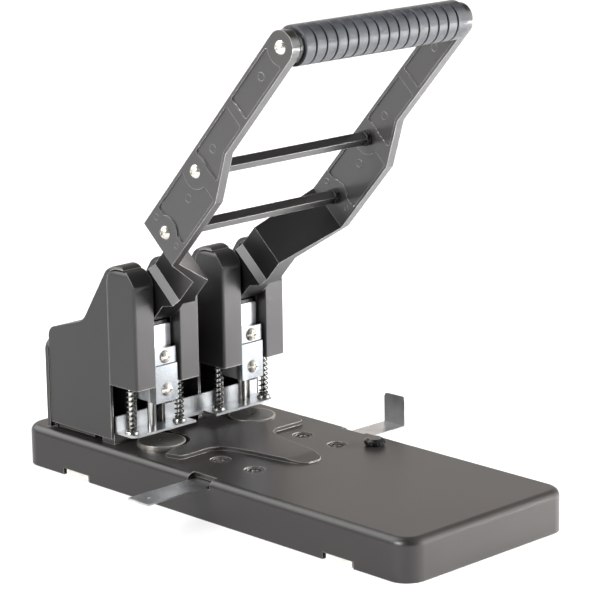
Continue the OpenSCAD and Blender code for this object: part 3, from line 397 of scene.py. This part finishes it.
def coil(centre, low, high, radius, wire, turns):
    """Round wire wound as a spring with one closed turn at each end, as vertices and faces."""
    # Steps in a turn, sides of the wire, and closed turns at each end
    steps, sides, ends = 28, 12, 1
    # The wires of closed turns all but touch
    lead = wire * 1.02
    climb = lead * 0.9
    start = lead / 2 + climb * ends
    rise = high - low
    whole = turns + 2 * ends
    count = whole * steps
    route = []
    for i in range(count + 1):
        t = i / steps
        if t < ends:
            z = lead / 2 + climb * t
        elif t > turns + ends:
            z = rise - lead / 2 - climb * (whole - t)
        else:
            z = start + (rise - 2 * start) * (t - ends) / turns
        a = 2 * math.pi * t
        route.append(Vector((radius * math.cos(a), radius * math.sin(a), low + z)) + centre)
    verts, faces = [], []
    for i, p in enumerate(route):
        ahead = (route[min(i + 1, count)] - route[max(i - 1, 0)]).normalized()
        spoke = (p - centre).to_2d().to_3d().normalized()
        lift = ahead.cross(spoke).normalized()
        # The cut ends are dressed thinner
        thick = wire * 0.55 if i in (0, count) else wire
        for k in range(sides):
            a = 2 * math.pi * k / sides
            verts.append(p + (spoke * math.cos(a) + lift * math.sin(a)) * thick / 2)
    for i in range(count):
        for k in range(sides):
            j = (k + 1) % sides
            faces.append((i * sides + k, (i + 1) * sides + k, (i + 1) * sides + j, i * sides + j))
    faces.append(tuple(range(sides)))
    faces.append(tuple(reversed(range(count * sides, (count + 1) * sides))))
    return verts, faces


# Sizes and colours that a user would change

class PunchSizes(bpy.types.PropertyGroup):
    edge_radius: bpy.props.FloatProperty(
        name="Edge radius", description="Small radius on the edges of the punches' plates",
        default=0.35 * MM, min=0.0, unit="LENGTH")
    spring_wire: bpy.props.FloatProperty(
        name="Spring wire", description="Diameter of the return springs' wire",
        default=0.95 * MM, min=0.5 * MM, unit="LENGTH")
    spring_turns: bpy.props.IntProperty(
        name="Spring turns", description="Open turns of a return spring", default=10, min=4)
    floor_radius: bpy.props.FloatProperty(
        name="Floor radius", description="Radius of the studio floor", default=9.0, unit="LENGTH")


class PunchColours(bpy.types.PropertyGroup):
    moulding: bpy.props.StringProperty(
        name="Moulding", description="Black of the base", default="#1b1918")
    casting: bpy.props.StringProperty(
        name="Casting", description="Black of the lever's arms", default="#0d0c0c")
    plate: bpy.props.StringProperty(
        name="Plate", description="Plated steel of the clamps and the straps", default="#b0b4b8")
    grip: bpy.props.StringProperty(
        name="Grip", description="Rubber of the grip", default="#1c1d1f")


def sizes():
    return bpy.context.scene.punch_sizes


def colours():
    return bpy.context.scene.punch_colours


# Pieces

class PUNCH_OT_mouldings(bpy.types.Operator):
    """Finish the base, the towers, their covers and the chip tray's panel"""
    bl_idname = "punch.mouldings"
    bl_label = "Mouldings"

    def execute(self, context):
        base = spark_eroded_abs("abs_spark_eroded_base", colours().moulding, "#201e1d",
                                grain_mm=0.55, rough=0.34)
        dress(["base_cover"], base, round_mm=0.5)
        tower = spark_eroded_abs("abs_fine_texture_tower", "#201f1f", "#262525", grain_mm=0.4, rough=0.4)
        dress(["rear_housing", "tray_panel"], tower, round_mm=0.4)
        dress(["left_outer_cover", "left_inner_cover", "right_inner_cover", "right_outer_cover"], tower,
              round_mm=0.3)
        tray = spark_eroded_abs("abs_plain_tray", "#242322", "#2b2a29", grain_mm=0.8, rough=0.5)
        dress(["chip_tray"], tray)
        feet = moulded_rubber("rubber_pale_feet", "#b4b2ac", "#c9c7c2", rough=0.7)
        dress(["rubber_feet"], feet, round_mm=0.4)
        return {"FINISHED"}


class PUNCH_OT_lever(bpy.types.Operator):
    """Finish the lever's two cast arms and its tie bars, with their small marks from the mould"""
    bl_idname = "punch.lever"
    bl_label = "Lever"

    def execute(self, context):
        casting = satin_powder_coat("powder_coated_zinc_casting", colours().casting, "#121110")
        dress(["left_arm", "right_arm"], casting, round_mm=0.5, fold=ARM_FOLD)
        bar = satin_powder_coat("powder_coated_steel_bar", "#0a0a0a", "#0f0e0e")
        dress(["upper_tie_bar", "lower_tie_bar"], bar, round_mm=0.3)
        collar = polished_nylon("nylon_collar", "#0e0e0e", "#1a1a1a")
        dress(["tie_collars", "grip_collar"], collar, round_mm=0.3)
        self.pin_marks(casting)
        return {"FINISHED"}

    def pin_marks(self, casting):
        """Rings that the mould's pins left on the arms' faces."""
        up = (lever_point(0, 1, 0) - lever_point(0, 0, 0)).normalized()
        front = (lever_point(0, 0, 1) - lever_point(0, 0, 0)).normalized()
        lip_mm, rise_mm = 0.7, 0.22
        # For each radius: distance up the arm, place across it and depth of the face there, in mm
        marks = {2.6: [(219.4, 6.6, 0.9), (155.2, 6.8, 0.9), (115.4, 12.6, 0.9)],
                 1.9: [(84.7, 1.6, 0.0), (85.1, 24.9, 0.0)]}
        for side, arm in ((-1, "left_arm"), (1, "right_arm")):
            low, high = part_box(arm)
            outer = max(abs(low.x), abs(high.x)) / MM
            inner = outer - ARM_MM
            for n, (radius, places) in enumerate(marks.items()):
                spots = [(lever_point(side * x, u, w), up, front, Vector((out, 0, 0)))
                         for u, w, sunk in places
                         for x, out in ((outer - sunk, side), (inner + sunk, -side))]
                verts, faces = ring_lip(spots, radius, lip_mm, rise_mm)
                mesh_piece("%s_pin_marks_%d" % (arm, n + 1), verts, faces, casting, "lever")


class PUNCH_OT_grip(bpy.types.Operator):
    """Finish the ribbed rubber grip"""
    bl_idname = "punch.grip"
    bl_label = "Grip"

    def execute(self, context):
        rubber = moulded_rubber("rubber_moulded_grip", colours().grip, "#252629", rough=0.34)
        dress(["grip_sleeve"], rubber)
        steel = plated_steel("steel_turned_rod", "#a8a8a6", "#8f8f8e", rough=0.35, grain_mm=0.5)
        dress(["grip_rod"], steel)
        return {"FINISHED"}


class PUNCH_OT_plated_parts(bpy.types.Operator):
    """Finish the plated and painted steel of the punches, the towers and the base"""
    bl_idname = "punch.plated_parts"
    bl_label = "Plated Parts"

    def execute(self, context):
        bright = plated_steel("steel_satin_nickel", colours().plate, "#a2a6aa",
                              rough=0.24, grain_mm=0.4, stretch=(1, 1, 6), metal=0.9)
        dress(["left_clamp", "right_clamp", "left_strap", "right_strap"], bright,
              round_mm=sizes().edge_radius / MM)
        block = plated_steel("steel_nickel_block", "#f2f4f6", "#e2e5e8",
                             rough=0.3, grain_mm=0.4, stretch=(1, 1, 6), metal=0.8)
        dress(["left_holder", "right_holder"], block, round_mm=0.3)
        plate = plated_steel("steel_zinc_plated_sheet", "#c8cacc", "#b7b9bb",
                             rough=0.3, grain_mm=0.6, stretch=(6, 1, 1), metal=0.95)
        dress(["stripper_plate"], plate, round_mm=0.3)
        turned = plated_steel("steel_turned_bright", "#dededc", "#bcbcba",
                              rough=0.16, grain_mm=0.3, stretch=(1, 1, 8))
        dress(["left_pin", "right_pin", "guide_posts", "stop_pins", "pivot_shafts", "shaft_clips"], turned,
              fold=TURNED_FOLD)
        seat = plated_steel("steel_bright_chrome", "#dbdad6", "#bbbab6", rough=0.22, grain_mm=0.3)
        dress(["spring_seats"], seat, round_mm=0.5, fold=TURNED_FOLD)
        screw = plated_steel("steel_screw_nickel", "#e6e2da", "#cbc7be",
                             rough=0.2, grain_mm=0.5, metal=0.85)
        dress(["arm_screws", "left_holder_screws", "right_holder_screws", "frame_screws", "tray_screws",
               "bottom_screws"], screw, fold=SCREW_FOLD)
        plain = plated_steel("steel_zinc_plated_plain", "#a3a6a8", "#8c8f91", rough=0.38, grain_mm=1.0)
        dress(["bottom_plate", "bar_channel", "anvil_blocks", "knob_cam"], plain)
        painted = satin_powder_coat("painted_steel_frame", "#191818", "#22211f")
        dress(["left_frame", "right_frame", "plate_supports"], painted)
        pad = polished_nylon("nylon_follower_pad", "#141414", "#1f1f1f")
        dress(["left_pad", "right_pad"], pad, round_mm=0.3)
        return {"FINISHED"}


class PUNCH_OT_discs(bpy.types.Operator):
    """Finish the cutting discs and the deck's black screws"""
    bl_idname = "punch.discs"
    bl_label = "Cutting Discs"

    def execute(self, context):
        low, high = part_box("right_disc")
        # The second colour is the painted highlight on the discs' rim
        steel = turned_black_steel("steel_blackened_turned", "#5a5855", "#a19e98",
                                   (low + high) / 2, (high.x - low.x) / 2)
        dress(["left_disc", "right_disc"], steel, round_mm=0.4)
        screw = satin_powder_coat("steel_black_oxide_screw", "#1b1a19", "#262524")
        dress(["deck_screws"], screw)
        return {"FINISHED"}


class PUNCH_OT_springs(bpy.types.Operator):
    """Wind the four return springs from round wire"""
    bl_idname = "punch.springs"
    bl_label = "Return Springs"

    def execute(self, context):
        wire = plated_steel("spring_steel_bright", "#7b7974", "#63615d", rough=0.2, grain_mm=0.3)
        for side in ("left", "right"):
            for place in ("outer", "inner"):
                node = "%s_%s_spring" % (side, place)
                low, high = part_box(node)
                centre = Vector(((low.x + high.x) / 2, (low.y + high.y) / 2, 0))
                thick = sizes().spring_wire
                radius = (high.x - low.x) / 2 - thick / 2
                verts, faces = coil(centre, low.z, high.z, radius, thick, sizes().spring_turns)
                piece = mesh_piece(node + "_wire", verts, faces, wire, "base")
                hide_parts(node)
                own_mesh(piece)
        return {"FINISHED"}


class PUNCH_OT_guide(bpy.types.Operator):
    """Finish the sliding paper guide and its lock knob"""
    bl_idname = "punch.guide"
    bl_label = "Paper Guide"

    def execute(self, context):
        sheet = plated_steel("steel_zinc_plated_strip", "#d2d3d4", "#babbbc",
                             rough=0.28, grain_mm=0.5, stretch=(1, 3, 3))
        dress(["guide_bar"], sheet, round_mm=0.25)
        knob = polished_nylon("nylon_lock_knob", "#0b0b0b", "#171717")
        dress(["guide_knob"], knob)
        return {"FINISHED"}


class PUNCH_OT_stage(bpy.types.Operator):
    """Set the white floor, the soft lamps and the camera"""
    bl_idname = "punch.stage"
    bl_label = "Studio"

    def execute(self, context):
        self.floor()
        self.lamps()
        self.world()
        self.camera()
        context.scene.view_settings.view_transform = "Standard"
        return {"FINISHED"}

    def floor(self):
        count = 96
        reach = sizes().floor_radius
        turns = [2 * math.pi * i / count for i in range(count)]
        verts = [(reach * math.cos(a), reach * math.sin(a), 0) for a in turns]
        mesh = bpy.data.meshes.new("studio_floor")
        mesh.from_pydata(verts, [], [tuple(range(count))])
        mesh.materials.append(studio_floor("paper_sweep_white", "#f4f4f4"))
        sweep = bpy.data.objects.new("studio_floor", mesh)
        bpy.context.scene.collection.objects.link(sweep)

    def lamps(self):
        # The softboxes light matt colour only, because gloss comes from the world's cards.
        # Place, aim and size in metres, spread in degrees and power in watts of each
        boxes = [("front_softbox", (1.25, -1.25, 0.16), (0, -0.06, 0.12), 0.8, 180, 450.0),
                 ("side_softbox", (-1.42, 0.1, 0.9), (0, -0.05, 0.16), 0.9, 180, 6.5),
                 ("lever_softbox", (-0.9, 0.1, 0.8), (-0.08, -0.2, 0.34), 0.3, 20, 1.6),
                 ("back_softbox", (0.9, 0.95, 0.9), (0, -0.05, 0.1), 1.0, 180, 4.0)]
        for name, place, aim, size, spread, power in boxes:
            data = bpy.data.lights.new(name, "AREA")
            data.shape = "DISK"
            data.size = size
            data.energy = power
            data.spread = math.radians(spread)
            lamp = bpy.data.objects.new(name, data)
            lamp.location = place
            lamp.visible_camera = False
            lamp.visible_glossy = False
            lamp.rotation_euler = (Vector(aim) - Vector(place)).to_track_quat("-Z", "Y").to_euler()
            bpy.context.scene.collection.objects.link(lamp)

    def world(self):
        world = bpy.data.worlds.new("studio_air")
        bpy.context.scene.world = world
        world.use_nodes = True
        tree = world.node_tree
        tree.nodes.clear()
        way = add(tree, "ShaderNodeTexCoord").outputs["Generated"]
        path = add(tree, "ShaderNodeLightPath")
        # White cards round the object, which its glossy faces mirror.
        # Direction, start and end of the edge that fades in, tint outside and inside, and strength of each
        cards = [((0.68, 0.7, 0.18), (0.86, 0.98), ("#403f40", "#fff7f0"), 1.0),
                 ((0.69, -0.69, 0.2), (0.8, 0.97), ("#000000", "#ffffff"), 2.5),
                 ((-0.23, 0.7, 0.67), (0.76, 0.98), ("#000000", "#ffffff"), 4.0),
                 ((-0.884, 0.058, 0.466), (0.945, 0.99), ("#000000", "#ffffff"), 16.0)]
        room = None
        for aim, (start, full), (outside, inside), strength in cards:
            facing = add(tree, "ShaderNodeVectorMath", {"operation": "DOT_PRODUCT", 1: aim}, {0: way})
            glow = add(tree, "ShaderNodeValToRGB", {"stops": [(start, outside), (full, inside)]},
                       {"Fac": facing.outputs["Value"]})
            card = add(tree, "ShaderNodeBackground", {"Strength": strength}, {"Color": glow.outputs["Color"]})
            lit = card.outputs["Background"]
            if room:
                lit = add(tree, "ShaderNodeAddShader", links={0: room, 1: lit}).outputs["Shader"]
            room = lit
        white = add(tree, "ShaderNodeBackground", {"Color": (1, 1, 1, 1), "Strength": 1.0})
        mix = add(tree, "ShaderNodeMixShader",
                  links={"Fac": path.outputs["Is Camera Ray"], 1: room, 2: white.outputs["Background"]})
        add(tree, "ShaderNodeOutputWorld", links={"Surface": mix.outputs["Shader"]})

    def camera(self):
        # The view that a fit of the base's edges and the towers gives: angles in degrees and place in mm
        turn, rise, roll = (math.radians(v) for v in (-44.098, 14.016, -0.828))
        place_mm = Vector((66.397, 110.384, 1771.959))
        # Focal length in pixels of the square picture
        focal_px, picture_px = 2685.596, 600
        sensor_mm = 36
        back = Vector((math.sin(turn) * math.cos(rise), -math.cos(turn) * math.cos(rise), math.sin(rise)))
        right = Vector((0, 0, 1)).cross(back).normalized()
        up = back.cross(right)
        level = Matrix((right, up, back))
        tilt = Matrix(((math.cos(roll), math.sin(roll), 0), (-math.sin(roll), math.cos(roll), 0), (0, 0, 1)))
        axes = (tilt @ level).transposed()
        data = bpy.data.cameras.new("camera")
        data.sensor_width = sensor_mm
        data.lens = focal_px * sensor_mm / picture_px
        data.clip_end = 50
        camera = bpy.data.objects.new("camera", data)
        camera.matrix_world = Matrix.Translation(axes @ place_mm * MM) @ axes.to_4x4()
        bpy.context.scene.collection.objects.link(camera)
        bpy.context.scene.camera = camera


class PUNCH_PT_panel(bpy.types.Panel):
    bl_label = "Lever Punch"
    bl_idname = "PUNCH_PT_panel"
    bl_space_type = "VIEW_3D"
    bl_region_type = "UI"
    bl_category = "Punch"

    def draw(self, context):
        for group in (context.scene.punch_sizes, context.scene.punch_colours):
            for key in group.__annotations__:
                self.layout.prop(group, key)
        for piece in PIECES:
            self.layout.operator(piece.bl_idname)


PIECES = (PUNCH_OT_mouldings, PUNCH_OT_lever, PUNCH_OT_grip, PUNCH_OT_plated_parts, PUNCH_OT_discs,
          PUNCH_OT_springs, PUNCH_OT_guide, PUNCH_OT_stage)
CLASSES = (PunchSizes, PunchColours) + PIECES + (PUNCH_PT_panel,)


def register():
    for piece in CLASSES:
        bpy.utils.register_class(piece)
    bpy.types.Scene.punch_sizes = bpy.props.PointerProperty(type=PunchSizes)
    bpy.types.Scene.punch_colours = bpy.props.PointerProperty(type=PunchColours)


def unregister():
    del bpy.types.Scene.punch_sizes
    del bpy.types.Scene.punch_colours
    for piece in reversed(CLASSES):
        bpy.utils.unregister_class(piece)


def main():
    register()
    bpy.ops.punch.mouldings()
    bpy.ops.punch.lever()
    bpy.ops.punch.grip()
    bpy.ops.punch.plated_parts()
    bpy.ops.punch.discs()
    bpy.ops.punch.springs()
    bpy.ops.punch.guide()
    bpy.ops.punch.stage()


if __name__ == "__main__":
    main()
